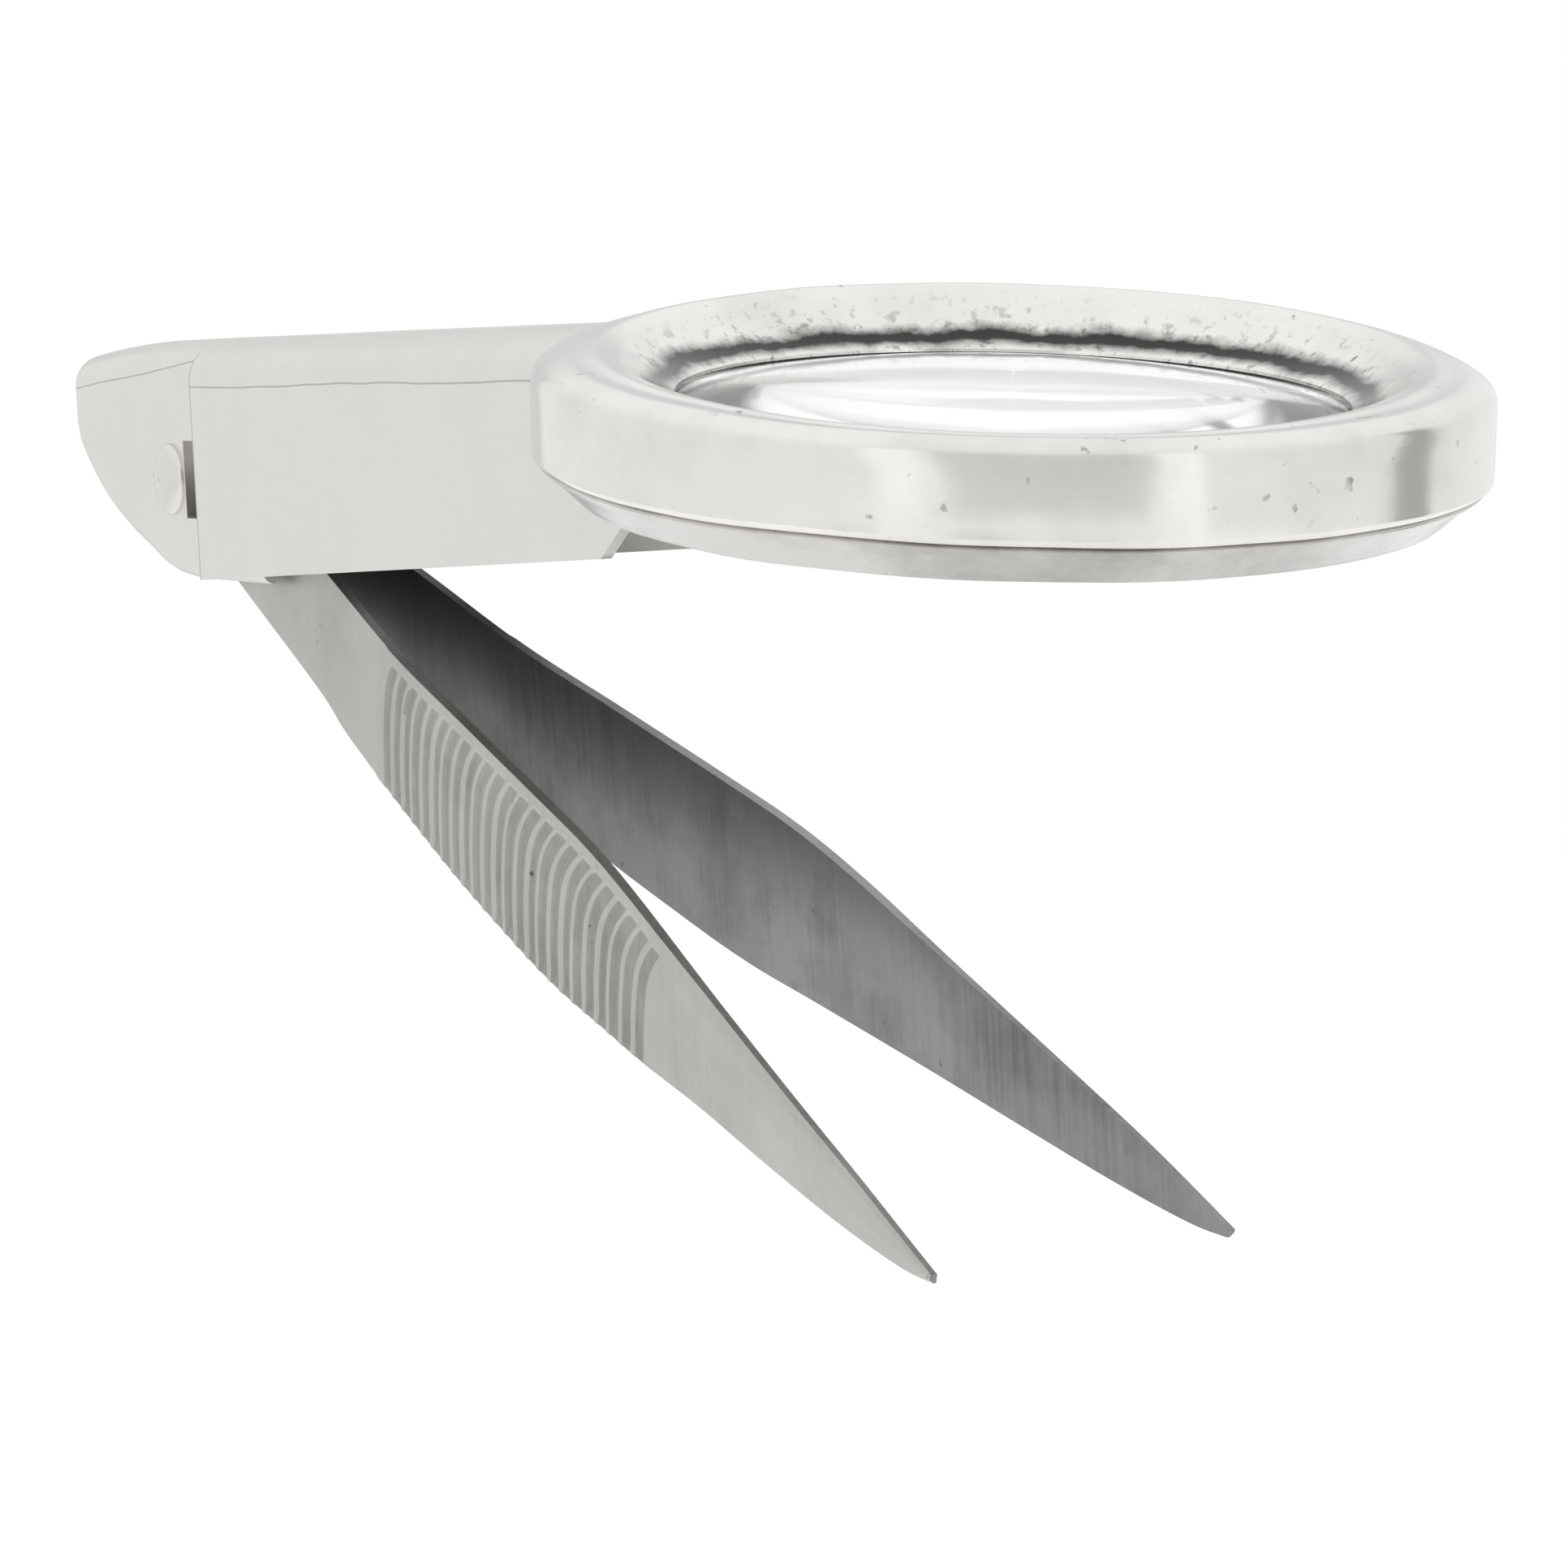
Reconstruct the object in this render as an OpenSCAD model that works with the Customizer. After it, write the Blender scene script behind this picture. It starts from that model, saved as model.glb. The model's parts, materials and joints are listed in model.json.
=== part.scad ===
/* [Housing] */
// Overall width of the channel-shaped housing
housing_w = 14.8; // [12:0.2:20]
// Thickness of the housing sheet
sheet_t = 0.6; // [0.4:0.1:0.8]
// Length of the straight lower edge of each side panel
panel_len = 53; // [45:1:65]
// Height of the side panels at the nose end
panel_h_nose = 13.3; // [12.5:0.1:15]
// Height of the side panels at the ring end
panel_h_ring = 10.7; // [9:0.1:12]
// Outer radius of the bend between the top plate and the panels
fold_r = 2.4; // [1.2:0.1:2.8]
// Length of the cut corner between each panel's lower edge and the ring
corner_run = 5.7; // [4:0.1:7]
// Slope of the cut corner
corner_slope = 32; // [20:1:38]

/* [Nose] */
// Overall width of the nose
nose_w = 7.4; // [6.6:0.2:9]
// Length of the nose beyond the pivot
nose_len = 17.8; // [14.8:0.1:21.4]
// Fullness of the nose's lower curve
nose_fullness = 1.9; // [1.5:0.05:2.3]
// How far the nose's top slopes down at its tip
nose_droop = 0.9; // [0:0.1:1.5]
// Depth of the nose below the pivot
nose_drop = 5.8; // [5.2:0.1:6.9]
// Width of the window beside the rivet in each cheek
window_w = 2.7; // [2:0.1:3.5]
// Height of the window beside the rivet in each cheek
window_h = 4.5; // [3.5:0.1:5.5]

/* [Pivot] */
// Height from the pivot up to the housing's top face
pivot_depth = 8.05; // [7.8:0.05:9.8]
// Distance from the pivot to the side panels along the housing
pivot_to_panel = 14; // [12:0.5:17]
// Radius of the rivet's shank
rivet_r = 1.5; // [1.1:0.1:1.8]
// How far the rivet's domed heads reach past its shank
rivet_head_over = 0.6; // [0.4:0.1:1]
// Height of the rivet's domed heads
rivet_head_h = 0.8; // [0.5:0.1:1]
// Radial running clearance of the rivet in what turns on it
pivot_clear = 0.05; // [0.02:0.01:0.09]
// Thickness of the friction washer
washer_t = 0.3; // [0.2:0.05:0.4]

/* [Ring] */
// Radius of the ring's upper opening
opening_r = 15.3; // [12.5:0.1:18.5]
// Width of the ring's rim around the opening
rim_w = 4.7; // [3.9:0.1:5.7]
// Height of the ring's outer wall
wall_h = 3.8; // [3:0.1:4.6]
// How far the ring tapers in towards its bottom edge
taper_w = 2.1; // [1.6:0.1:2.6]
// Thickness of the ledge that carries the lens
ledge_t = 1.15; // [0.95:0.05:1.4]
// Angle between the ring and the housing
ring_tilt = 8.4; // [6:0.1:10]
// Height of the ring's opening above the top plate where they meet
ring_rise = 0.2; // [0:0.02:0.6]

/* [Lens] */
// How far the lens reaches past the ring's opening
lens_bearing = 1.25; // [1:0.05:1.5]
// Radial clearance around the lens
lens_clear = 0.1; // [0.05:0.01:0.15]
// Thickness of the lens at its edge
lens_edge_t = 1.4; // [1:0.1:1.8]
// Radius of curvature of each lens face
lens_curve = 78; // [64:1:120]
// Thickness of the cushion ring below the lens
shim_t = 0.2; // [0.15:0.05:0.35]
// Thickness of the wire of the split ring that holds the lens
split_ring_t = 0.8; // [0.5:0.1:1]

/* [Tweezers] */
// Length of the tweezers from the pivot to the tips
blade_len = 100.6; // [83:0.5:121]
// Height of the arms at the middle of the grip
grip_w = 8.3; // [6.9:0.1:9.6]
// Thickness of each arm's strip
arm_t = 0.6; // [0.5:0.05:0.75]
// Thickness of each arm's tip
tip_t = 0.35; // [0.25:0.05:0.45]
// Gap between the two strips at the closed end
heel_gap = 1.4; // [1.1:0.05:1.7]
// Radius of the closed end
heel_r = 3.1; // [2.5:0.1:3.4]
// Distance from the pivot back to the middle of the closed end
heel_back = 6.2; // [5.2:0.1:7]
// Gap between an open arm and the panel at the ring end of the housing
arm_side_gap = 0.45; // [0.3:0.05:0.9]
// Angle of the open tweezers below the housing
open_angle = 18.4; // [15:0.1:20]
// Number of grip grooves on each arm
groove_count = 24; // [12:1:26]
// Distance between grip grooves
groove_pitch = 1.6; // [1.2:0.05:1.7]
// Depth of the grip grooves
groove_depth = 0.2; // [0.05:0.05:0.25]

/* [Hidden] */

// Round shapes are exact at any value above 12
$fn = 48;
// Finer steps for the large ring
ring_fn = 96;
// Small overlap that keeps cuts clean
cut = 0.1;
// Gap between pieces that are soldered or seated together
seat_gap = 0.03;
// Face-to-face gap between pieces that turn against each other
side_gap = 0.05;

half_w = housing_w / 2;
half_nose = nose_w / 2;
// The origin is the middle of the housing's flat top face
mid_x = pivot_to_panel + panel_len / 2;
// Outer radius of the nose's long edges and upright corners
nose_edge_r = 1.8;
// Height of the nose's blunt end
nose_end_h = 1.7;
// Rounding above the blunt end
nose_end_step = 0.4;
// Length of the corner between the blunt end and the nose's top
nose_corner = 2;
// Height of the blunt end's lower edge above the pivot
nose_tip_z = pivot_depth - nose_droop - nose_end_h - nose_end_step;
// Where the nose's lower edge becomes level
nose_level_x = 4;
// Where the nose's floor ends, so that the arms can swing out
nose_floor_end = -4.5;
// Where the nose's cheeks end inside the housing
cheek_lap = 0.5;
cheek_end = pivot_to_panel + cheek_lap;
// Round relief at the corner of each panel
relief_r = 0.5;
relief_drop = 1.3;
relief_z = pivot_depth - relief_drop;
// Clear metal between the rivet's head and the window
window_gap = 0.2;
window_x = rivet_r + rivet_head_over + window_gap;
// How far the panels' blank runs on before the ring's wall trims it
trim_run = 4;

// Ring sizes, with heights measured from the plane of its upper opening
ring_r = opening_r + rim_w;
wall_x = pivot_to_panel + panel_len + corner_run;
ring_x = wall_x + ring_r;
ring_z = pivot_depth + ring_rise - ring_r * sin(ring_tilt);
crown_h = 1.5;
// Section of the crown: shares of the rim's width in from the wall, and of the crown's height
crown_shape = [[0, -0.5], [0.075, 0], [0.3, 0.6], [0.54, 1], [0.69, 0.9], [0.915, 0.4]];
skirt_t = 1.2;
skirt_r = ring_r - skirt_t;
wall_z = -wall_h;
// Sloping inner lip that the lens sits against
lip_w = 1.25;
lip_t = 0.33;
lip_top_z = 0.2;
lip_r = opening_r - lip_w;
lip_z = -0.87;
seat_z = lip_z - lip_t;
lens_r = opening_r + lens_bearing;
lens_bore_r = lens_r + lens_clear;
shim_w = 0.8;
ring_ledge = 0.8;
// How far the lower ring's upper edge stands in from the outer wall
base_step = 0.3;
// Points along each lens face
lens_steps = 12;
// Height of a lens face's curve at a radius
function sag(r) = lens_curve - sqrt(lens_curve * lens_curve - r * r);
lens_high_z = seat_z - seat_gap - sag(lens_r) + sag(lip_r);
lens_low_z = lens_high_z - lens_edge_t;
// The cushion touches the lens's lower face along the cushion's inner edge
shim_low_z = lens_low_z - sag(lens_r) + sag(lens_r - shim_w) - seat_gap - shim_t;
ledge_z = shim_low_z - split_ring_t;
base_z = ledge_z - ledge_t;
split_gap = 3;

// Bracket that joins the ring to the housing
bracket_w = 8;
bracket_t = 0.7;
bracket_len = 14;

// Strips of the closed end
heel_out = heel_gap / 2 + arm_t;
// Bushes and washer between the cheeks and the closed end
bush_wall = 0.8;
bush_r = rivet_r + bush_wall;
washer_over = 0.3;
dome_steps = 8;
bush_len = half_nose - sheet_t - heel_out - side_gap;

// The arms flex about a line just in front of the rivet
flex_l = 4;
flex_y = heel_out - arm_t / 2;
flex_clear = 0.05;
heel_end_gap = 0.1;
// The closed end touches the nose's roof when the tweezers are open
heel_rise = (pivot_depth - sheet_t - nose_droop * pow(heel_back / nose_len, 2) - 2 * side_gap - heel_r
    - heel_back * sin(open_angle)) / cos(open_angle);
heel_rivet_r = 0.55;
heel_rivet_l = [-1.2 * heel_back, -0.7 * heel_back];
heel_rivet_w = [heel_rise + heel_r / 3, heel_rise - heel_r / 2];
spacer_gap = 0.3;
spacer_end_l = -bush_r - spacer_gap;
// Ends of the closed end's round back, and the slopes from it to the flex line
heel_from = 60;
heel_to = 245;
heel_steps = 14;
heel_top_run = 2;
heel_low_run = 3;

// Bow of the arms: the share of the full spread at l from the pivot
spread_curve = 1.4;
function share(l) = 1 - pow(1 - min((l - flex_l) / (blade_len - flex_l), 1), spread_curve);
// Thickness of an arm at l from the pivot: it thins from taper_l to the tip
taper_l = 0.55 * blade_len;
function thickness(l) = arm_t - (arm_t - tip_t) * max(l - taper_l, 0) / (blade_len - taper_l);
// Half of the distance across the outside of the tips
tip_spread = heel_out + (half_w - sheet_t - arm_side_gap - heel_out) / share(wall_x);
// Distance from the middle plane to an arm's outer face, at l from the pivot
function spread(l) = heel_out + (tip_spread - heel_out) * share(l);
strip_steps = 20;
groove_start = 0.314 * blade_len;
groove_w = groove_pitch / 2;
groove_margin = 0.9;
tip_w = 0.05;

// Edges of an arm: shares of its length from the flex line, and of the grip's height
arm_top = [[0, 0.27], [0.2, 0.24], [0.31, 0.23], [0.42, 0.29], [0.53, 0.35], [0.6, 0.38],
           [0.66, 0.36], [0.74, 0.29], [0.81, 0.23], [0.87, 0.18], [0.93, 0.13], [1, tip_w]];
arm_low = [[0, -0.54], [0.18, -0.58], [0.25, -0.65], [0.41, -0.69], [0.51, -0.67], [0.58, -0.63],
           [0.65, -0.54], [0.75, -0.41], [0.83, -0.31], [0.91, -0.2], [0.97, -0.09], [1, 0]];
flex_low = arm_low[0][1] * grip_w;
flex_top = arm_top[0][1] * grip_w;

// Points along an arc
function arc(x, y, r, from, to, steps) =
    [for (i = [0 : steps]) let (a = from + (to - from) * i / steps) [x + r * cos(a), y + r * sin(a)]];
// Point on a smooth curve between b and c
function blend(a, b, c, d, t) =
    b + t / 2 * (c - a + t * (2 * a - 5 * b + 4 * c - d + t * (3 * b - a - 3 * c + d)));
// Smooth curve through a list of points
function smooth(p, steps) =
    [for (i = [0 : len(p) - 2], k = [0 : steps - 1])
        blend(p[max(i - 1, 0)], p[i], p[i + 1], p[min(i + 2, len(p) - 1)], k / steps)];
// Points in reverse order
function back_to_front(p) = [for (i = [len(p) - 1 : -1 : 0]) p[i]];
// Point of an arm's edge in the frame of the tweezers
function arm_point(p) = [flex_l + p[0] * (blade_len - flex_l), p[1] * grip_w];
// Lower edge of the nose, at x from the pivot
function nose_low(x) =
    nose_tip_z - (nose_tip_z + nose_drop)
        * pow(1 - pow((nose_level_x - min(x, nose_level_x)) / (nose_len + nose_level_x), nose_fullness),
              1 / nose_fullness);
// Upper edge of the nose, at x from the pivot
function nose_high(x) = pivot_depth - nose_droop * pow(min(x, 0) / nose_len, 2);

// Places its children in the frame of the pivot
module at_pivot() translate([-mid_x, 0, -pivot_depth]) children();

// Places its children in the frame of the tilted ring
module at_ring() at_pivot() translate([ring_x, 0, ring_z]) rotate([0, ring_tilt, 0]) children();

// Places its children in the frame of the open tweezers
module at_tweezers() at_pivot() rotate([0, open_angle, 0]) children();

// Side view shape, drawn as x and z, given a width across the housing
module side_plate(width) rotate([90, 0, 0]) linear_extrude(width, center = true) children();

// Round bar across the housing
module cross_bar(r, length) rotate([90, 0, 0]) cylinder(r = r, h = length, center = true);

// Flat washer or tube that lies in the ring
module flat_ring(outer, inner, low, height) translate([0, 0, low]) difference() {
    cylinder(r = outer, h = height, $fn = ring_fn);
    translate([0, 0, -cut]) cylinder(r = inner, h = height + 2 * cut, $fn = ring_fn);
}

// Bar along x with rounded upper edges, whose top face is at z = 0
module bent_bar(x_from, x_to, half, depth, r)
    translate([x_from, 0, 0]) rotate([90, 0, 90]) linear_extrude(x_to - x_from) {
        translate([-half, -depth]) square([2 * half, depth - r]);
        translate([-half + r, -r - cut]) square([2 * (half - r), r + cut]);
        for (side = [-1, 1]) translate([side * (half - r), -r]) circle(r);
    }

// Side view of the panels
module panel_side() {
    x_end = pivot_to_panel + panel_len;
    corner = corner_run + trim_run;
    polygon([[pivot_to_panel, pivot_depth], [pivot_to_panel, pivot_depth - panel_h_nose],
             [x_end, pivot_depth - panel_h_ring],
             [x_end + corner, pivot_depth - panel_h_ring + corner * tan(corner_slope)],
             [x_end + corner, pivot_depth]]);
}

// Top plate and side panels, before the ring's wall trims them
module panels() difference() {
    length = panel_len + corner_run + trim_run;
    intersection() {
        translate([0, 0, pivot_depth])
            bent_bar(pivot_to_panel, pivot_to_panel + length, half_w, 2 * pivot_depth, fold_r);
        side_plate(housing_w) panel_side();
    }
    translate([0, 0, pivot_depth - sheet_t])
        bent_bar(pivot_to_panel - cut, pivot_to_panel + length + cut, half_w - sheet_t,
                 3 * pivot_depth, fold_r - sheet_t);
    for (side = [-1, 1]) translate([pivot_to_panel, side * half_w, relief_z])
        cross_bar(relief_r, half_w);
}

// Side view of the nose, shrunk by an inset
module nose_side(inset) {
    steps = 16;
    end = cheek_end + inset;
    low = [for (i = [0 : steps]) let (x = -nose_len + (nose_len + end) * pow(i / steps, 2))
        [x + inset, nose_low(x) + inset]];
    high = [for (i = [0 : steps / 2]) let (x = end - (nose_len + end - nose_corner) * 2 * i / steps)
        [x + inset, nose_high(x) - inset]];
    polygon(concat(low, high, [[-nose_len + inset, nose_tip_z + nose_end_h - inset]]));
}

// Nose as a solid, shrunk on every side by an inset
module nose_solid(inset) {
    half = half_nose - inset;
    r = nose_edge_r - inset;
    tip = -nose_len + inset;
    end = cheek_end + inset;
    tall = nose_drop + pivot_depth;
    intersection() {
        side_plate(nose_w) nose_side(inset);
        translate([0, 0, pivot_depth - inset]) bent_bar(tip, end, half, 2 * pivot_depth, r);
        translate([0, 0, -nose_drop]) linear_extrude(tall) {
            translate([tip + r, -half]) square([end - tip - r, 2 * half]);
            translate([tip, -half + r]) square([2 * r, 2 * (half - r)]);
            for (side = [-1, 1]) translate([tip + r, side * (half - r)]) circle(r);
        }
    }
}

// Hollow nose with its open floor, rivet holes and windows
module nose() difference() {
    nose_solid(0);
    nose_solid(sheet_t);
    translate([nose_floor_end, -half_nose + sheet_t, -2 * nose_drop])
        cube([cheek_end - nose_floor_end + cut, nose_w - 2 * sheet_t, 2 * nose_drop]);
    cross_bar(rivet_r, nose_w + 2 * cut);
    translate([window_x, -half_nose - cut, -window_h / 2])
        cube([window_w, nose_w + 2 * cut, window_h]);
}

// Folded sheet: top plate, two side panels and the narrow nose that holds the pivot
module housing_shell() color("gainsboro") difference() {
    at_pivot() {
        panels();
        nose();
    }
    at_ring() translate([0, 0, -ring_r]) cylinder(r = ring_r + seat_gap, h = 2 * ring_r, $fn = ring_fn);
}

// Crowned outer ring with the sloping lip around the lens
module ring_bezel() color("whitesmoke") at_ring() rotate_extrude($fn = ring_fn) {
    crown = [for (p = crown_shape) [ring_r - p[0] * rim_w, p[1] * crown_h]];
    polygon(concat([[lip_r, seat_z], [lip_r, lip_z], [opening_r, lip_top_z]], back_to_front(smooth(crown, 3)),
                   [[ring_r, wall_z], [skirt_r, wall_z], [skirt_r, seat_z]]));
}

// Tapered lower ring, pressed up inside the bezel, with the ledge that carries the lens
module ring_base() color("silver") at_ring() rotate_extrude($fn = ring_fn) {
    bore = lens_bore_r;
    outer = skirt_r - seat_gap;
    polygon([[bore, seat_z - seat_gap], [outer, seat_z - seat_gap], [outer, wall_z - seat_gap],
             [ring_r - base_step, wall_z - seat_gap], [ring_r - taper_w, base_z], [bore - ring_ledge, base_z],
             [bore - ring_ledge, ledge_z], [bore, ledge_z]]);
}

// Biconvex magnifying lens
module lens() color("aliceblue", 0.4) at_ring() rotate_extrude($fn = ring_fn) {
    edge = asin(lens_r / lens_curve);
    high_mid = lens_high_z + sag(lens_r) - lens_curve;
    low_mid = lens_low_z - sag(lens_r) + lens_curve;
    polygon(concat(arc(0, high_mid, lens_curve, 90, 90 - edge, lens_steps),
                   arc(0, low_mid, lens_curve, edge - 90, -90, lens_steps)));
}

// Thin ring that cushions the lens
module lens_shim() color("dimgray") at_ring() flat_ring(lens_r, lens_r - shim_w, shim_low_z, shim_t);

// Split spring ring that holds the lens up against the bezel
module lens_split_ring() color("darkgray") at_ring() difference() {
    flat_ring(lens_r, lens_r - split_ring_t, ledge_z, split_ring_t);
    translate([0, -split_gap / 2, ledge_z - cut]) cube([ring_r, split_gap, split_ring_t + 2 * cut]);
}

// Tongue under the top plate whose curved flange holds the ring's wall
module ring_bracket() color("darkgray") {
    under = -sheet_t - seat_gap;
    start = wall_x - mid_x - bracket_len;
    difference() {
        translate([start, -bracket_w / 2, under - bracket_t])
            cube([2 * bracket_len, bracket_w, bracket_t]);
        at_ring() translate([0, 0, -ring_r])
            cylinder(r = ring_r + seat_gap, h = 2 * ring_r, $fn = ring_fn);
    }
    intersection() {
        at_ring() flat_ring(ring_r + seat_gap + bracket_t, ring_r + seat_gap, wall_z, 2 * wall_h);
        translate([start, -bracket_w / 2, -3 * wall_h])
            cube([2 * bracket_len, bracket_w, 3 * wall_h + under]);
    }
}

// Shank and two domed heads
module pivot_rivet() color("white") at_pivot() {
    head_r = rivet_r + rivet_head_over;
    dome_r = (head_r * head_r + rivet_head_h * rivet_head_h) / (2 * rivet_head_h);
    cross_bar(rivet_r, nose_w);
    for (side = [90, -90]) rotate([side, 0, 0]) translate([0, 0, half_nose]) rotate_extrude()
        polygon(concat([[0, 0]],
                       arc(0, rivet_head_h - dome_r, dome_r, 90 - asin(head_r / dome_r), 90, dome_steps)));
}

// Round piece on the rivet: side is -1 for the near one and 1 for the far one
module on_rivet(side, from, thick, outer) at_pivot()
    translate([0, side * (from + thick / 2), 0]) difference() {
        cross_bar(outer, thick);
        cross_bar(rivet_r, thick + 2 * cut);
    }

// Bushes that fill the space between the cheeks and the closed end
module bush_near() color("goldenrod") on_rivet(-1, heel_out + side_gap, bush_len, bush_r);

module bush_far() color("goldenrod") on_rivet(1, heel_out + side_gap + washer_t, bush_len - washer_t, bush_r);

// Washer whose drag holds the tweezers at any angle
module friction_washer() color("peru") on_rivet(1, heel_out + side_gap, washer_t, bush_r + washer_over);

// Outline of the closed end, up to the flex line
module heel_outline() {
    end = flex_l - heel_end_gap;
    polygon(concat(arc(-heel_back, heel_rise, heel_r, heel_from, heel_to, heel_steps),
                   [[end - heel_low_run, flex_low], [end, flex_low],
                    [end, flex_top], [end - heel_top_run, flex_top]]));
}

// Holes for the two small rivets of the closed end
module heel_pins(length) for (i = [0, 1])
    translate([heel_rivet_l[i], 0, heel_rivet_w[i]]) cross_bar(heel_rivet_r, length);

// Closed end of one arm: side is -1 for the front arm and 1 for the back arm
module heel(side) at_tweezers() difference() {
    translate([0, side * flex_y, 0]) side_plate(arm_t) heel_outline();
    cross_bar(rivet_r + pivot_clear, nose_w);
    translate([flex_l, side * flex_y, -2 * nose_drop])
        cylinder(r = arm_t / 2 + flex_clear, h = 4 * nose_drop);
    heel_pins(nose_w);
}

module front_heel() color("darkgray") heel(-1);

module back_heel() color("darkgray") heel(1);

// Plate between the two closed ends
module heel_spacer() color("gray") at_tweezers() difference() {
    side_plate(heel_gap) heel_outline();
    translate([spacer_end_l, -half_nose, -2 * nose_drop]) cube([2 * heel_back, nose_w, 4 * nose_drop]);
    heel_pins(nose_w);
}

// Two small rivets through the closed ends
module heel_rivets() color("silver") at_tweezers() heel_pins(2 * heel_out);

// Outline of an arm along and across its length
module arm_outline() {
    top = [for (p = smooth(arm_top, 3)) arm_point(p)];
    low = [for (p = smooth(arm_low, 3)) arm_point(p)];
    root = [[flex_l - arm_t, flex_low], [flex_l - arm_t, flex_top]];
    tip = [[blade_len, tip_w * grip_w], [blade_len, 0]];
    polygon(concat(root, top, tip, back_to_front(low)));
}

// Bowed strip of one arm, seen from above
module arm_strip(side) {
    stops = [for (i = [0 : strip_steps]) flex_l + (blade_len - flex_l) * i / strip_steps];
    outer = [for (l = stops) [l, side * spread(l)]];
    inner = [for (l = stops) [l, side * (spread(l) - thickness(l))]];
    translate([0, 0, -2 * nose_drop]) {
        linear_extrude(4 * nose_drop) polygon(concat(outer, back_to_front(inner)));
        translate([flex_l, side * flex_y, 0]) cylinder(r = arm_t / 2, h = 4 * nose_drop);
    }
}

// Grip grooves across the outer face of one arm
module grip_grooves(side)
    for (i = [0 : groove_count - 1]) {
        l = groove_start + i * groove_pitch;
        top = lookup((l - flex_l) / (blade_len - flex_l), arm_top) * grip_w - groove_margin;
        translate([l, side * spread(l), top - 2 * nose_drop])
            rotate([0, 0, side * atan((spread(l + 1) - spread(l - 1)) / 2)])
                translate([-groove_w / 2, -groove_depth, 0])
                    cube([groove_w, 2 * groove_depth, 2 * nose_drop]);
    }

module arm(side) at_tweezers() difference() {
    intersection() {
        side_plate(4 * tip_spread) arm_outline();
        arm_strip(side);
    }
    grip_grooves(side);
}

module front_arm() color("darkgray") arm(-1);

module back_arm() color("gray") arm(1);

housing_shell();
ring_bezel();
ring_base();
lens();
lens_split_ring();
lens_shim();
ring_bracket();
pivot_rivet();
bush_near();
bush_far();
friction_washer();
heel_spacer();
heel_rivets();
front_heel();
back_heel();
front_arm();
back_arm();
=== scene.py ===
"""Folding magnifier with tweezers: detailed meshes, materials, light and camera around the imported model."""
import json
import math

import bmesh
import bpy
from mathutils import Matrix, Vector, noise


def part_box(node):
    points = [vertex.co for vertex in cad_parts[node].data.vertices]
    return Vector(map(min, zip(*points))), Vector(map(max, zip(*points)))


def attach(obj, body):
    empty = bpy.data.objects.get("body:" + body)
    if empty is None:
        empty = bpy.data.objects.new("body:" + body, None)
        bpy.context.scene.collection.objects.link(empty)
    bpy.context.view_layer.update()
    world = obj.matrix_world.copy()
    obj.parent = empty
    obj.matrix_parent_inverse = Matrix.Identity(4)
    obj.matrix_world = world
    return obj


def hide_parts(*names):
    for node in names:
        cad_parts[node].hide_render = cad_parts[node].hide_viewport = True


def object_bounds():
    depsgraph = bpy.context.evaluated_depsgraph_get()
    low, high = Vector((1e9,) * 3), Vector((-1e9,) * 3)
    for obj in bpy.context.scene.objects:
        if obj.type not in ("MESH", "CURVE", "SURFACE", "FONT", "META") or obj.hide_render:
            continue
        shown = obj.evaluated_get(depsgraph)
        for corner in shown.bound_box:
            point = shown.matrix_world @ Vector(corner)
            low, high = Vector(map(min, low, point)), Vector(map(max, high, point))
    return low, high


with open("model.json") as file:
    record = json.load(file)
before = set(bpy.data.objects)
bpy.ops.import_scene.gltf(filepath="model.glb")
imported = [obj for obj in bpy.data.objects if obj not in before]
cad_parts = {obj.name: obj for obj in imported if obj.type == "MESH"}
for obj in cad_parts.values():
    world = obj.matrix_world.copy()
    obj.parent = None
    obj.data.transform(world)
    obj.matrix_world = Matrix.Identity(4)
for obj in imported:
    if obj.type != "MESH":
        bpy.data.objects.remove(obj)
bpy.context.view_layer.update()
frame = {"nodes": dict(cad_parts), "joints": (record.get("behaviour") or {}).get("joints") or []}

MM = 0.001
joints = {j["name"]: j for j in frame["joints"]}
PIVOT = Vector(joints["tweezers_fold"]["pos_m"]) / MM

# Housing, in millimetres from the pivot
HALF_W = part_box("housing_shell")[1].y / MM
TOP = -PIVOT.z
SHEET = 0.6
FOLD_R = 2.4
PANEL_START = 14.0
PANEL_END = 67.0
LOW_NOSE = TOP - 13.3
LOW_RING = TOP - 10.7
CORNER_SLOPE = math.radians(32)
WALL_GAP = 0.03
PANEL_ROWS = 14
PANEL_STEPS = 53
CORNER_STEPS = 14
FOLD_STEPS = 10
SETTLING = 6

# Nose
HALF_NOSE = 3.7
NOSE_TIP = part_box("housing_shell")[0].x / MM - PIVOT.x
NOSE_DROOP = 0.9
NOSE_LEVEL_X = 4.0
NOSE_TIP_Z = TOP - 3.0
NOSE_DROP = 5.8
NOSE_FULLNESS = 1.9
NOSE_EDGE_R = 1.8
NOSE_LOW_R = 0.8
LOW_R_FROM = -7
MAX_ROUNDING = 0.48
MIN_TALL = 0.1
TIP_ROUND = 2.0

# The cheek rows that frame the windows, and their ends at the tip as shares of the cheek's height
TIP_CHEEK = (0.15, 0.6)
FLOOR_END = -4.5
WINDOW_X = (2.3, 5.0)
WINDOW_Z = 2.25

# The nose's stations: shares that close its tip, steps after the tip, and where even steps start
CAP_SHARES = (0.02, 0.35, 0.7, 0.9)
TIP_STEPS = (0, 0.04, 0.12, 0.25, 0.45, 0.7, 1, 1.4, 1.8, 2.3, 2.9, 3.6)
TIP_END = 4.4

# The nose's cells from its middle line up one side: half floor, rounding, then the cheek below, beside and
# above the window
FLOOR_CELLS = 4
ROUND_CELLS = 6
BELOW_CELLS = 3
WINDOW_CELLS = 6
ABOVE_CELLS = 5

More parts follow.
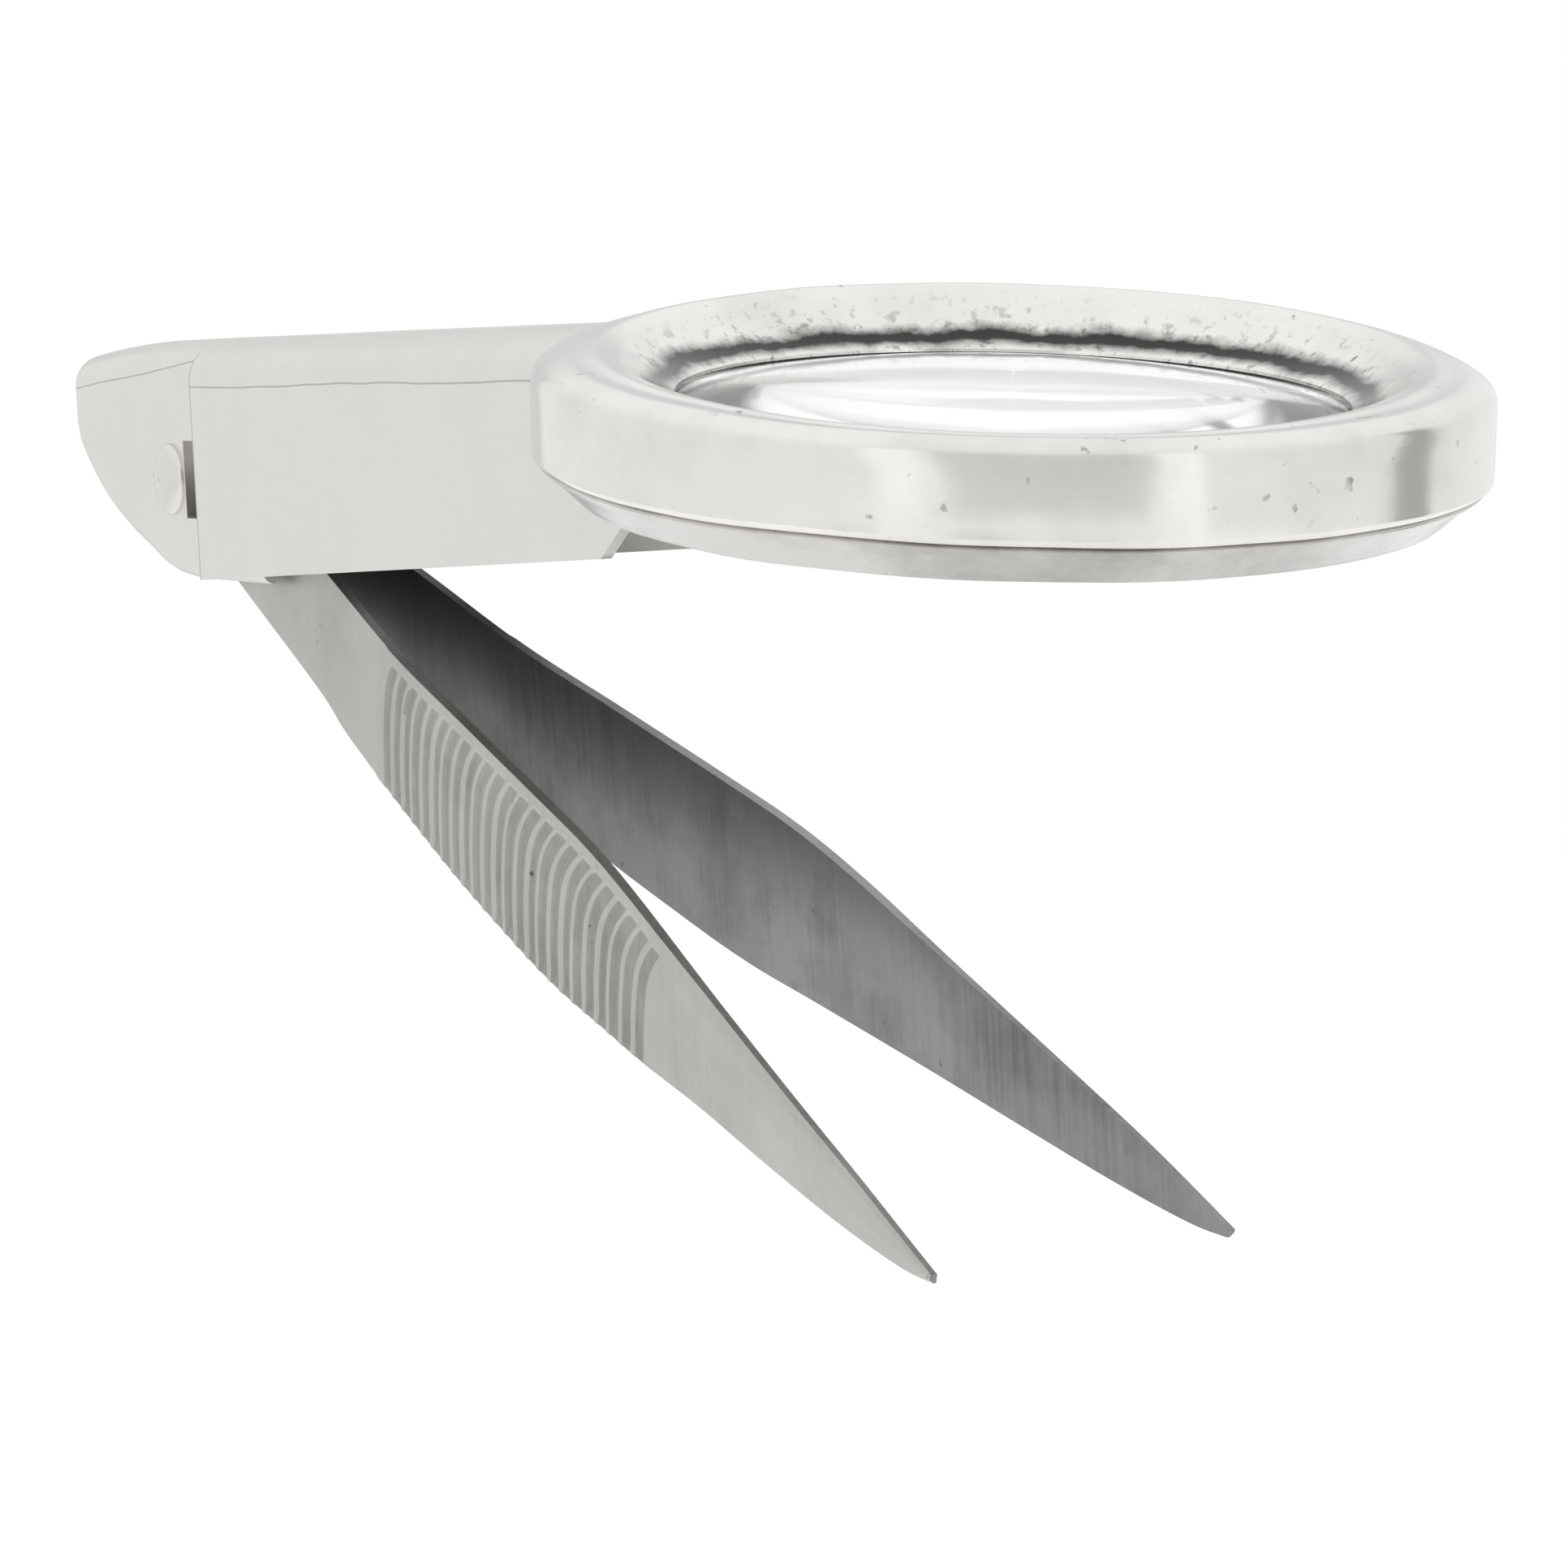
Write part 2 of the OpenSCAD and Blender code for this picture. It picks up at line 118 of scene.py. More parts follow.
# Ring
RING_TILT = math.radians(8.4)
RING_R = 20.0
LIP_R = 15.3
HIGH_SIDE = math.radians(150)
RING_CENTRE = Vector((92.7, 0, TOP + 0.2 - RING_R * math.sin(RING_TILT)))

# Radii between which the crown's drop and the unevenness grow and fade, and the lowest height that drops
RIM_DROP = 1.32
DROP_STARTS = (15.2, 17.0)
DROP_ENDS = (17.6, 19.9)
CROWN_LOW = -0.8
UNEVEN_R = (14, 20)
UNEVEN_RISE = 8

# Ring profiles, as radius and height, and the lens
CROWN = [(20, -0.6), (19.85, -0.05), (19.3, 0.5), (18.5, 1.1),
         (17.45, 1.5), (16.6, 1.2), (15.9, 0.35), (15.4, -0.25)]
BEZEL_LIP = [(14.05, -1.15), (14.07, -1.02), (14.2, -0.92), (14.8, -0.66)]
BEZEL_WALL = [(20, -1.2), (20.0, -2.2), (19.98, -3.0), (19.95, -3.5)]
BEZEL_INSIDE = [(18.85, -3.8), (18.8, -3.75), (18.8, -1.25), (18.7, -1.2)]
BASE_WALL = [(16.65, -1.25), (18.75, -1.25), (18.77, -3.8), (19.62, -3.81)]
BASE_TAPER = [(18.9, -4.55), (18.45, -5.0), (18.1, -5.3)]
BASE_INSIDE = [(16.2, -5.48), (15.95, -5.44), (15.85, -5.3), (15.85, -4.34), (16.65, -4.32)]
LENS_CURVE = 78.0
LENS_EDGE_R = 16.55
LENS_EDGE_Z = (-1.74, -3.14)
LENS_AXIS_R = 0.02
LENS_RINGS = 30

# Rivet
HEAD_TIP = (0.05, 4.52)
HEAD_TOP = 4.5
HEAD_DOME = 0.62
HEAD_SHAPE = 2.6
HEAD_R = 2.1
HEAD_RINGS = (0.5, 1, 1.4, 1.7, 1.9, 2.02)
HEAD_EDGE = (3.8, 3.7)
SHANK_R = 1.5

# Tweezers
OPEN = math.radians(18.4)
FLEX_L = 4.0
BLADE_LEN = 100.6
GRIP_W = 8.3
ARM_T = 0.6
TIP_T = 0.35
TAPER_L = 0.55 * BLADE_LEN
HEEL_OUT = 1.3
TIP_OUT = 7.43
SPREAD_CURVE = 1.4
EDGE_STEPS = 12
EDGE_MIN = 1e-6
MIN_ARM_W = 0.2
ARM_SETTLING = 3
ARM_COLUMNS = 44
ARM_STEPS = (50, 312, 60)

# How much lower the plain heel's face is than the grip's, and how far before and after the grip's start it
# steps up
HEEL_STEP = 0.07
HEEL_STEP_X = (0.2, 0.1)

# Facets past the grip: share of the arm's height, and depth as a share of its thickness
LOW_FACET = (0.5, 0.6)
TOP_FACET = (0.15, 0.2)
FACET_STARTS = 2

# Slots of an arm's materials, and how squarely a face must look outwards to take the outer one
OUTER, INNER, GROOVE = 0, 1, 2
OUTER_NORMAL = 0.6

# The grip and its grooves
GRIP_START = 31.6
GRIP_LEAD = 1.0
GROOVES = 24
GROOVE_PITCH = 1.6
GROOVE_DEPTH = 0.2
GRIP_END = GRIP_START + GRIP_LEAD + GROOVES * GROOVE_PITCH

# Where a groove opens and closes, as shares of the pitch
GROOVE_OPENS = (0.1, 0.3)
GROOVE_CLOSES = (0.75, 0.96)

# The grooves' bend: height of its middle, curve below and above it, and fades before and after the grip
GROOVE_MIDDLE = -0.6
BEND_BELOW = 0.046
BEND_ABOVE = 0.2
BEND_FADE = (5, 8)

# The grooves' fade under the top edge, their share of the depth at the low edge, and the shallower last ones
TOP_FADE = (1.0, 0.55)
LOW_FADE = 0.6
LOW_SHARE = 0.3
LAST_GROOVES = 4
LAST_LOSS = 0.6

# Edges of an arm, as shares of its length and of the grip's height
ARM_TOP = [(0, .27), (.2, .24), (.31, .23), (.42, .29), (.53, .35), (.6, .38),
           (.66, .36), (.74, .29), (.81, .23), (.87, .18), (.93, .13), (1, .05)]
ARM_LOW = [(0, -.54), (.18, -.58), (.25, -.65), (.41, -.69), (.51, -.67), (.58, -.63),
           (.65, -.54), (.75, -.41), (.83, -.31), (.91, -.2), (.97, -.09), (1, 0)]


def at_pivot(x, y, z):
    """A point given in millimetres from the pivot, in the frame's metres."""
    return (PIVOT + Vector((x, y, z))) * MM


def at_ring(radius, angle, z):
    """A point on the tilted ring, given as radius, angle and height in millimetres."""
    p = Vector((radius * math.cos(angle), radius * math.sin(angle), z))
    return (PIVOT + RING_CENTRE + Matrix.Rotation(RING_TILT, 3, "Y") @ p) * MM


def at_tweezers(along, y, across):
    """A point in the frame of the open tweezers, in millimetres."""
    return (PIVOT + Matrix.Rotation(OPEN, 3, "Y") @ Vector((along, y, across))) * MM


def mix(a, b, t):
    """Value at a share t of the way from a to b."""
    return a + (b - a) * t


def step(low, high, value):
    """Smooth step from 0 to 1 between two values."""
    t = min(max((value - low) / (high - low), 0), 1)
    return t * t * (3 - 2 * t)


def span(start, end, steps):
    """Evenly spaced values, without the last one."""
    return [mix(start, end, k / steps) for k in range(steps)]


def arc(cx, cy, rx, ry, start, end, steps):
    """Points on an ellipse's arc between two angles in degrees."""
    angles = [math.radians(mix(start, end, k / steps)) for k in range(steps + 1)]
    return [(cx + rx * math.cos(a), cy + ry * math.sin(a)) for a in angles]


def smooth(points, steps):
    """Points on a smooth curve through the given ones."""
    curve = []
    for k in range(len(points) - 1):
        a, b, c, d = (points[min(max(k + n, 0), len(points) - 1)] for n in (-1, 0, 1, 2))
        for t in span(0, 1, steps):
            curve.append(tuple(
                q + t / 2 * (r - p + t * (2 * p - 5 * q + 4 * r - s + t * (3 * q - p - 3 * r + s)))
                for p, q, r, s in zip(a, b, c, d)))
    return curve + [tuple(points[-1])]


# Meshes

MERGE_M = 1e-7


def sheet_faces(outer, inner, keeps=None, closed=False):
    """Vertices and faces of a closed sheet between two grids; keeps(row, column) picks its cells."""
    rows, cols = len(outer), len(outer[0])
    verts = [p for grid in (outer, inner) for row in grid for p in row]
    far = rows * cols
    cells = {(j, i) for j in range(rows - 1) for i in range(cols if closed else cols - 1)
             if keeps is None or keeps(j, i)}
    faces = []
    for j, i in sorted(cells):
        nxt = (i + 1) % cols
        a, b, c, d = j * cols + i, j * cols + nxt, (j + 1) * cols + nxt, (j + 1) * cols + i
        faces += [(a, b, c, d), (d + far, c + far, b + far, a + far)]
        before = (i - 1) % cols if closed else i - 1
        after = nxt if closed else i + 1
        sides = (((j - 1, i), a, b), ((j, after), b, c), ((j + 1, i), c, d), ((j, before), d, a))
        for cell, p, q in sides:
            if cell not in cells:
                faces.append((q, p, p + far, q + far))
    return verts, faces


def make_piece(name, verts, faces, edge=0.0, sharp=40):
    """Mesh object with smooth faces and, where edge isn't zero, softened edges of that size in millimetres."""
    mesh = bpy.data.meshes.new(name)
    mesh.from_pydata(verts, [], faces)
    work = bmesh.new()
    work.from_mesh(mesh)
    bmesh.ops.delete(work, geom=[v for v in work.verts if not v.link_faces], context="VERTS")
    bmesh.ops.remove_doubles(work, verts=work.verts, dist=MERGE_M)
    bmesh.ops.recalc_face_normals(work, faces=work.faces)
    work.to_mesh(mesh)
    work.free()
    mesh.shade_smooth()
    mesh.set_sharp_from_angle(angle=math.radians(sharp))
    piece = bpy.data.objects.new(name, mesh)
    bpy.context.scene.collection.objects.link(piece)
    if edge:
        bevel = piece.modifiers.new("edges", "BEVEL")
        bevel.width = edge * MM
        bevel.segments = 2
        bevel.limit_method = "ANGLE"
        bevel.angle_limit = math.radians(sharp)
        bevel.harden_normals = True
    return piece


def lathe(name, profile, place, steps, wobble=None):
    """Ring turned from a closed profile of radius and height; place(radius, angle, height) puts a point."""
    verts, faces = [], []
    count = len(profile)
    for k in range(steps):
        angle = math.tau * k / steps
        for r, z in profile:
            dr, dz = wobble(r, z, angle) if wobble else (0, 0)
            verts.append(place(r + dr, angle, z + dz))
        for i in range(count):
            j, m = (i + 1) % count, (k + 1) % steps
            faces.append((k * count + i, k * count + j, m * count + j, m * count + i))
    return make_piece(name, verts, faces, sharp=35)


def nose_low(x):
    """Height of the nose's lower edge, which rises to its tip on a full curve."""
    share = (NOSE_LEVEL_X - min(x, NOSE_LEVEL_X)) / (NOSE_LEVEL_X - NOSE_TIP)
    rise = max(1 - share ** NOSE_FULLNESS, 0) ** (1 / NOSE_FULLNESS)
    return NOSE_TIP_Z - (NOSE_TIP_Z + NOSE_DROP) * rise


def nose_section(x, inset, shrink):
    """Loop around the nose at x: floor, near cheek, roof, far cheek, each point as y and z."""
    from_tip = max(x - NOSE_TIP, 0)
    half = HALF_NOSE - inset
    if from_tip < TIP_ROUND:
        half += math.sqrt(TIP_ROUND ** 2 - (TIP_ROUND - from_tip) ** 2) - TIP_ROUND
    low = nose_low(x) + inset
    high = TOP - NOSE_DROOP * (min(x, 0) / NOSE_TIP) ** 2 - inset
    tall = max(high - low, MIN_TALL)
    r_top = min(NOSE_EDGE_R - inset, MAX_ROUNDING * tall)
    r_low = min(mix(NOSE_EDGE_R, NOSE_LOW_R, step(LOW_R_FROM, 0, x)) - inset, MAX_ROUNDING * tall)
    near = [(-t * (half - r_low), low) for t in span(0, 1, FLOOR_CELLS)]
    near += arc(-half + r_low, low + r_low, r_low, r_low, 270, 180, ROUND_CELLS)
    cheek_low, cheek_high = low + r_low, high - r_top
    if x > 0:
        ends = [-WINDOW_Z, WINDOW_Z]
    else:
        ends = [mix(cheek_low, cheek_high, share) for share in TIP_CHEEK]
    heights = span(cheek_low, ends[0], BELOW_CELLS)[1:] + span(*ends, WINDOW_CELLS)
    heights += span(ends[1], cheek_high, ABOVE_CELLS)
    near += [(-half, z) for z in heights]
    near += arc(-half + r_top, high - r_top, r_top, r_top, 180, 90, ROUND_CELLS)
    near += [(-t * (half - r_top), high) for t in span(1, 0, FLOOR_CELLS)[1:]]
    far = [(-y, z) for y, z in reversed(near[1:])]
    middle = (low + high) / 2
    loop = near + [(0, high)] + far
    return [(y * shrink, mix(middle, z, shrink)) for y, z in loop]


def nose_faces():
    """Hollow nose with its open floor and the two windows beside the rivet."""
    stations = [(NOSE_TIP, share) for share in CAP_SHARES] + [(NOSE_TIP + d, 1) for d in TIP_STEPS]
    places = span(NOSE_TIP + TIP_END, FLOOR_END, 10) + span(FLOOR_END, WINDOW_X[0], 8)
    places += span(*WINDOW_X, 4) + span(WINDOW_X[1], PANEL_START, 10) + [PANEL_START]
    stations += [(x, 1) for x in places]
    grids = [[[at_pivot(max(x, NOSE_TIP + inset), y, z) for y, z in nose_section(x, inset, shrink)]
              for x, shrink in stations] for inset in (0, SHEET)]
    count = len(grids[0][0])
    first = FLOOR_CELLS + ROUND_CELLS + BELOW_CELLS
    window_cells = range(first, first + WINDOW_CELLS)

    def keeps(j, i):
        x = (stations[j][0] + stations[j + 1][0]) / 2
        side = i if i < count // 2 else count - 1 - i
        if x > FLOOR_END and side < FLOOR_CELLS:
            return False
        return not (WINDOW_X[0] < x < WINDOW_X[1] and side in window_cells)

    return sheet_faces(grids[0], grids[1], keeps, closed=True)


def wall_x(y, z):
    """Where the ring's wall trims the housing, at a place across it and a height."""
    reach = math.sqrt((RING_R + WALL_GAP) ** 2 - y * y)
    return RING_CENTRE.x + (-reach + (z - RING_CENTRE.z) * math.sin(RING_TILT)) / math.cos(RING_TILT)


def panel_low(x):
    """Height of a side panel's lower edge, which turns up beside the ring."""
    slope = (LOW_RING - LOW_NOSE) / (PANEL_END - PANEL_START)
    return LOW_RING + (x - PANEL_END) * (slope if x < PANEL_END else math.tan(CORNER_SLOPE))


def channel_faces():
    """Top plate and side panels of the folded sheet, trimmed by the ring's wall."""
    stations = span(0, 1, PANEL_STEPS) + [1]
    stations += [1 + k / CORNER_STEPS for k in range(1, CORNER_STEPS + 1)]
    bend = TOP - FOLD_R
    grids = []
    for inset in (0, SHEET):
        half, r = HALF_W - inset, FOLD_R - inset
        side = [("panel", k / PANEL_ROWS) for k in range(PANEL_ROWS)]
        side += [("fixed", p) for p in arc(-half + r, TOP - inset - r, r, r, 180, 90, FOLD_STEPS)]
        side += [("fixed", (-t * (half - r), TOP - inset)) for t in (0.8, 0.6, 0.4, 0.2)]
        grid = []
        for s in stations:
            row = []
            for kind, value in side:
                y, z = (-half, bend) if kind == "panel" else value
                x = mix(PANEL_START, PANEL_END, s)
                # The trimmed place and the edge's height depend on each other
                for _ in range(SETTLING):
                    if s > 1:
                        x = mix(PANEL_END, wall_x(y, z), s - 1)
                    if kind == "panel":
                        z = mix(panel_low(x), bend, value)
                row.append((x, y, z))
            middle_x = mix(PANEL_END, wall_x(0, TOP), s - 1) if s > 1 else row[-1][0]
            row.append((middle_x, 0, TOP - inset))
            row += [(px, -py, pz) for px, py, pz in reversed(row[:-1])]
            grid.append([at_pivot(*p) for p in row])
        grids.append(grid)
    return sheet_faces(*grids)


def make_housing():
    """The folded sheet and its nose as one mesh."""
    verts, faces = channel_faces()
    more_verts, more_faces = nose_faces()
    faces += [tuple(v + len(verts) for v in face) for face in more_faces]
    return make_piece("housing_sheet", verts + more_verts, faces, edge=0.07)


def uneven(place, scale, size, shift=(0, 0, 0)):
    """Noise of a size in millimetres."""
    return noise.noise(place * scale + Vector(shift)) * size


def ring_wobble(r, z, angle):
    """Slight handmade unevenness that grows towards the outside."""
    share = step(*UNEVEN_R, r)
    place = Vector((math.cos(angle), math.sin(angle), z / UNEVEN_RISE))
    lump = uneven(place, scale=2.1, size=0.09) + uneven(place, scale=6, size=0.035, shift=(5, 0, 0))
    return lump * share, uneven(place, scale=3, size=0.08, shift=(0, 9, 0)) * share


def bezel_wobble(r, z, angle):
    """Unevenness of the bezel, whose crown is lower on the front arm's side."""
    dr, dz = ring_wobble(r, z, angle)
    if z < CROWN_LOW:
        return dr, dz
    low_side = (1 - math.cos(angle - HIGH_SIDE)) / 2
    return dr, dz - RIM_DROP * low_side * step(*DROP_STARTS, r) * (1 - step(*DROP_ENDS, r))


def make_bezel():
    """Crowned ring: flat wall, soft shoulder, sloping crown and the dark lip around the lens."""
    profile = BEZEL_LIP + smooth(CROWN, 6)[::-1] + BEZEL_WALL
    profile += arc(cx=19.7, cy=-3.55, rx=0.25, ry=0.25, start=0, end=-90, steps=4) + BEZEL_INSIDE
    return lathe("bezel", profile, at_ring, 360, bezel_wobble)


def make_base():
    """Lower ring: a bead under the bezel's wall, a taper and a rounded foot."""
    profile = BASE_WALL + arc(cx=19.35, cy=-3.98, rx=0.3, ry=0.14, start=50, end=-30, steps=4)
    profile += BASE_TAPER + arc(cx=17.75, cy=-5.3, rx=0.3, ry=0.17, start=0, end=-90, steps=5)
    return lathe("lens_mount", profile + BASE_INSIDE, at_ring, 360, ring_wobble)


def lens_sag(r):
    """How far a lens face falls back from its middle at a radius."""
    return LENS_CURVE - math.sqrt(LENS_CURVE ** 2 - r * r)


def make_lens():
    """Lens with two curved faces, thickest in the middle."""
    high = LENS_EDGE_Z[0] + lens_sag(LENS_EDGE_R)
    low = LENS_EDGE_Z[1] - lens_sag(LENS_EDGE_R)
    radii = [LENS_EDGE_R * math.sqrt(k / LENS_RINGS) for k in range(1, LENS_RINGS + 1)]
    profile = [(LENS_AXIS_R, high)] + [(r, high - lens_sag(r)) for r in radii]
    profile += [(r, low + lens_sag(r)) for r in reversed(radii)] + [(LENS_AXIS_R, low)]
    return lathe("glass_lens", profile, at_ring, 180)


def make_rivet():
    """Shank and two domed heads with a soft rim."""
    head = [HEAD_TIP] + [(r, HEAD_TOP - HEAD_DOME * (r / HEAD_R) ** HEAD_SHAPE) for r in HEAD_RINGS]
    head += [(HEAD_R, y) for y in HEAD_EDGE] + [(SHANK_R, HEAD_EDGE[1])]
    profile = head + [(r, -y) for r, y in reversed(head)]

    def place(radius, angle, y):
        return at_pivot(radius * math.cos(angle), y, radius * math.sin(angle))

    return lathe("rivet", profile, place, 72)


def arm_edge(shares):
    """Smooth edge of an arm from shares of its length and of the grip's height."""
    return smooth([(mix(FLEX_L, BLADE_LEN, s), w * GRIP_W) for s, w in shares], EDGE_STEPS)


def across_at(curve, along):
    """Height of an arm's edge at a distance along it."""
    for (l0, w0), (l1, w1) in zip(curve, curve[1:]):
        if along <= l1:
            return mix(w0, w1, (along - l0) / max(l1 - l0, EDGE_MIN))
    return curve[-1][1]


def spread(along):
    """How far an open arm's outer face is from the middle at a distance along it."""
    share = min(max((along - FLEX_L) / (BLADE_LEN - FLEX_L), 0), 1)
    return HEEL_OUT + (TIP_OUT - HEEL_OUT) * (1 - (1 - share) ** SPREAD_CURVE)


def groove_bend(across):
    """How far the grip's curved grooves lag towards the tip at a height across the arm."""
    bend = across - GROOVE_MIDDLE
    return (BEND_BELOW if bend < 0 else BEND_ABOVE) * bend * bend


def groove_relief(along, across, top, low):
    """How deep the grip's wide grooves cut the outer face at a point, leaving narrow ridges."""
    turn = (along - GRIP_START - GRIP_LEAD - groove_bend(across)) / GROOVE_PITCH
    if not 0 <= turn < GROOVES:
        return 0
    place = turn % 1
    floor = step(*GROOVE_OPENS, place) * (1 - step(*GROOVE_CLOSES, place))
    fade = 1 - step(top - TOP_FADE[0], top - TOP_FADE[1], across)
    fade *= mix(LOW_SHARE, 1, step(low, low + LOW_FADE, across))
    late = 1 - LAST_LOSS * step(GROOVES - LAST_GROOVES, GROOVES, turn)
    return GROOVE_DEPTH * floor * fade * late


def facet(share, width, depth):
    """How deep a facet cuts at a share of the way from its edge of the arm."""
    return depth * max(width - share, 0) / width


def make_arm(name, side):
    """Bowed strip with a grooved grip, facets along both edges past it and a thinning tip."""
    top_edge, low_edge = arm_edge(ARM_TOP), arm_edge(ARM_LOW)
    heel_steps, grip_steps, tip_steps = ARM_STEPS
    stations = span(FLEX_L, GRIP_START, heel_steps) + span(GRIP_START, GRIP_END, grip_steps)
    stations += span(GRIP_END, BLADE_LEN, tip_steps) + [BLADE_LEN]
    outer, inner = [], []
    for station in stations:
        lag = step(GRIP_START - BEND_FADE[0], GRIP_START, station)
        lag *= 1 - step(GRIP_END, GRIP_END + BEND_FADE[1], station)
        thick = ARM_T - (ARM_T - TIP_T) * max(station - TAPER_L, 0) / (BLADE_LEN - TAPER_L)
        row_out, row_in = [], []
        for k in range(ARM_COLUMNS + 1):
            share = k / ARM_COLUMNS
            along = station
            # The edges' heights and the grooves' lag depend on each other
            for _ in range(ARM_SETTLING):
                top, low = across_at(top_edge, along), across_at(low_edge, along)
                across = mix(low, low + max(top - low, MIN_ARM_W), share)
                along = station + lag * groove_bend(across)
            past = step(GRIP_END - FACET_STARTS, GRIP_END + BEND_FADE[1], along)
            heel = along - groove_bend(across) - GRIP_START
            y = spread(along) - groove_relief(along, across, top, low)
            y -= HEEL_STEP * (1 - step(-HEEL_STEP_X[0], HEEL_STEP_X[1], heel))
            y -= thick * past * (facet(share, *LOW_FACET) + facet(1 - share, *TOP_FACET))
            row_out.append(at_tweezers(along, side * y, across))
            row_in.append(at_tweezers(along, side * (spread(along) - thick), across))
        outer.append(row_out)
        inner.append(row_in)
    return make_piece(name, *sheet_faces(outer, inner), edge=0.05, sharp=55)


# Materials

# Scales of a metal's noises, the ranges they are spread over, and how its tone and roughness vary
CLOUD_SCALE = 95.0
SPECK_SCALE = 1300.0
PATCH_SCALE = 240.0
CLOUD_RANGE = (0.45, 0.75)
SPECK_RANGE = (0.66, 0.74)
PATCH_RANGE = (0.5, 0.62)
STROKE_RANGE = (0.3, 0.7)
DULL_RANGE = (0.3, 0.75)
STROKE_GAIN = 1.25
PIT_GAIN = 0.25
CLOUD_ROUGH = 0.12
BUMP_M = 0.00004

# Painted reflection line along the housing's bend and painted shadow at the panels' front edges, in
# millimetres
NOSE_LINE_Z = 6.2
NOSE_LINE_SLOPE = 0.07
PANEL_LINE_Z = 5.2
LINE_WANDER = 0.6
LINE_WANDER_SCALE = 70
REFLECTION_LINE_HALF_W = 0.045
EDGE_SHADOW_HALF_W = 0.16
NOSE_SIDE = 3.3
PANEL_SIDE = 6.7
# Strength and colour of the painted reflection line and the painted edge shadow
PAINTED_LINE_AND_SHADOW_SHARE = 0.6
PAINTED_LINE_AND_SHADOW_TONE = (0.25, 0.25, 0.24)

# Painted shade on the arms towards the housing, and the darker lip around the lens: the radii between which
# each band fades
PAINTED_SHADE_X = (22, 62)
PAINTED_SHADE_SHARE = 0.72
PAINTED_SHADE_TONE = (0.03, 0.03, 0.029)
LIP_OUTER = (LIP_R + 0.3, LIP_R - 0.2)
LIP_INNER = (LIP_R - 1.2, LIP_R - 0.6)
SPECK_BAND = (LIP_R + 1.4, LIP_R + 0.2)
WEAR_RANGE = (0.56, 0.66)
RAGGED_SCALE = 330.0
RAGGED_MM = 1.5
WEAR_SPECKS = 1500.0
SPECK_SHARE = 0.6
SPECK_TONE = (0.2, 0.195, 0.185)
LIP_TONE = (0.05, 0.049, 0.046)


def adder(tree):
    """Function that adds a node to a tree; links pairs each socket with a value or another node's output."""
    def add(kind, links=(), **values):
        node = tree.nodes.new(kind)
        for key, value in values.items():
            setattr(node, key, value)
        for socket, source in links:
            if isinstance(source, bpy.types.NodeSocket):
                tree.links.new(source, node.inputs[socket])
            else:
                node.inputs[socket].default_value = source
        return node

    return add


def nodes_of(name):
    """New material, its node tree, its shader, its object coordinates and its add function."""
    material = bpy.data.materials.new(name)
    material.use_nodes = True
    tree = material.node_tree
    add = adder(tree)
    place = add("ShaderNodeTexCoord").outputs["Object"]
    return material, tree, tree.nodes["Principled BSDF"], place, add


def reopen(material):
    """A finished material's shader, object coordinates and add function."""
    tree = material.node_tree
    place = next(n for n in tree.nodes if n.bl_idname == "ShaderNodeTexCoord").outputs["Object"]
    return tree.nodes["Principled BSDF"], place, adder(tree)


def maths(add, operation, *sources):
    """Output of a math node."""
    return add("ShaderNodeMath", enumerate(sources), operation=operation).outputs[0]


def times(add, a, b):
    """Product of two values."""
    return maths(add, "MULTIPLY", a, b)


def noise_of(add, place, scale, stretch=(1, 1, 1), detail=4, roughness=0.6):
    """Noise in the object's own metres; stretch squeezes it along each axis."""
    mapped = add("ShaderNodeMapping", [("Vector", place), ("Scale", stretch)]).outputs[0]
    return add("ShaderNodeTexNoise", [("Vector", mapped), ("Scale", scale), ("Detail", detail),
                                      ("Roughness", roughness)]).outputs["Fac"]


def ramp_of(add, value, low, high, to_low=0.0, to_high=1.0):
    """Linear ramp of a value, held at its ends."""
    return add("ShaderNodeMapRange", [("Value", value), ("From Min", low), ("From Max", high),
                                      ("To Min", to_low), ("To Max", to_high)]).outputs[0]


def blend_of(add, share, a, b):
    """Blend of two colours, from a at a share of 0 to b at 1."""
    return add("ShaderNodeMix", [(0, share), (6, a), (7, b)], data_type="RGBA").outputs[2]


def paint_over(add, shader, share, colour):
    """Blends a colour over the one that is linked to a shader."""
    base = shader.inputs["Base Color"]
    old = base.links[0].from_socket
    shader.id_data.links.new(blend_of(add, share, old, (*colour, 1)), base)


def scaled(colour, gain):
    """A colour made brighter or darker, with alpha."""
    return (*[min(c * gain, 1) for c in colour], 1)


def metal(name, colour, stain, rough, brush, stains=0.35, pits=0.2, bump=0.15, shine=0.1):
    """Worn metal: brushed along one axis, with cloudy stains and small pits."""
    material, tree, shader, place, add = nodes_of(name)
    strokes = noise_of(add, place, 1.0, brush, detail=3)
    clouds = noise_of(add, place, CLOUD_SCALE, detail=6, roughness=0.65)
    specks = noise_of(add, place, SPECK_SCALE, detail=2)
    patches = noise_of(add, place, PATCH_SCALE, detail=3)
    pit_share = times(add, ramp_of(add, specks, *SPECK_RANGE), ramp_of(add, patches, *PATCH_RANGE))
    cloud_share = ramp_of(add, clouds, *CLOUD_RANGE, 0.0, stains)
    stroke_share = ramp_of(add, strokes, *STROKE_RANGE, 0.0, shine)
    tone = blend_of(add, cloud_share, (*colour, 1), (*stain, 1))
    tone = blend_of(add, stroke_share, tone, scaled(colour, STROKE_GAIN))
    tone = blend_of(add, ramp_of(add, pit_share, 0, 1, 0, pits), tone, scaled(stain, PIT_GAIN))
    tree.links.new(tone, shader.inputs["Base Color"])
    shader.inputs["Metallic"].default_value = 1.0
    dull = ramp_of(add, clouds, *DULL_RANGE, rough, rough + CLOUD_ROUGH)
    tree.links.new(dull, shader.inputs["Roughness"])
    height = maths(add, "SUBTRACT", strokes, pit_share)
    bumps = add("ShaderNodeBump", [("Strength", bump), ("Distance", BUMP_M), ("Height", height)])
    tree.links.new(bumps.outputs[0], shader.inputs["Normal"])
    return material


